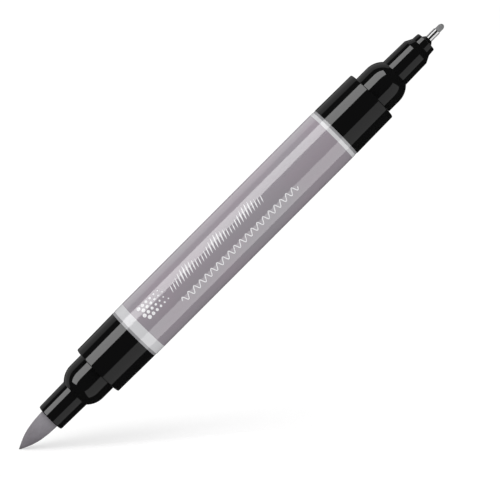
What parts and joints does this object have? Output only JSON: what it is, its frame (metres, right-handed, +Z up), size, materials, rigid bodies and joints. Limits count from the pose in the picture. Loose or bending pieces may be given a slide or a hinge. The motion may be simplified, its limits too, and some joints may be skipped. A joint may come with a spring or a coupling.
{
  "type": "felt tip marker",
  "caption": "Slim art marker with a brush nib at one end and a fine metal-sleeved nib at the other, caps off, joined by a glossy ink-coloured barrel.",
  "frame": {"origin": "centre of the barrel, on the pen's axis", "axes": "+X along the pen from the brush nib towards the fine nib, +Z up, the printed side faces -Y"},
  "size_m": [0.1294, 0.013, 0.013],
  "materials": {
    "pale_plastic": "pale, glossy, slightly milky moulded plastic",
    "ink_print": "glossy ink-coloured print, warm violet grey",
    "black_plastic": "glossy black moulded plastic",
    "sleeve_metal": "polished metal",
    "nib_fibre": "bonded fibre soaked with warm violet-grey ink",
    "reservoir_fibre": "soft absorbent fibre soaked with ink",
    "wrap_film": "thin milky film"
  },
  "bodies": {
    "barrel": {"barrel_tube": "pale_plastic", "colour_film": "ink_print", "reservoir_core": "reservoir_fibre", "reservoir_wrap": "wrap_film"},
    "brush_front": {"brush_section": "black_plastic"},
    "brush_tip": {"brush_nib": "nib_fibre"},
    "fine_front": {"fine_section": "black_plastic"},
    "fine_tip": {"fine_nib_holder": "black_plastic", "fine_nib_sleeve": "sleeve_metal", "fine_nib": "nib_fibre"}
  },
  "joints": [
    {"name": "brush_section_pull", "type": "slide", "parent": "barrel", "child": "brush_front", "axis": [-1, 0, 0], "range_m": [0, 0.014]},
    {"name": "brush_nib_pull", "type": "slide", "parent": "brush_front", "child": "brush_tip", "axis": [-1, 0, 0], "range_m": [0, 0.03]},
    {"name": "fine_section_pull", "type": "slide", "parent": "barrel", "child": "fine_front", "axis": [1, 0, 0], "range_m": [0, 0.014]},
    {"name": "fine_nib_pull", "type": "slide", "parent": "fine_front", "child": "fine_tip", "axis": [1, 0, 0], "range_m": [0, 0.03]}
  ]
}
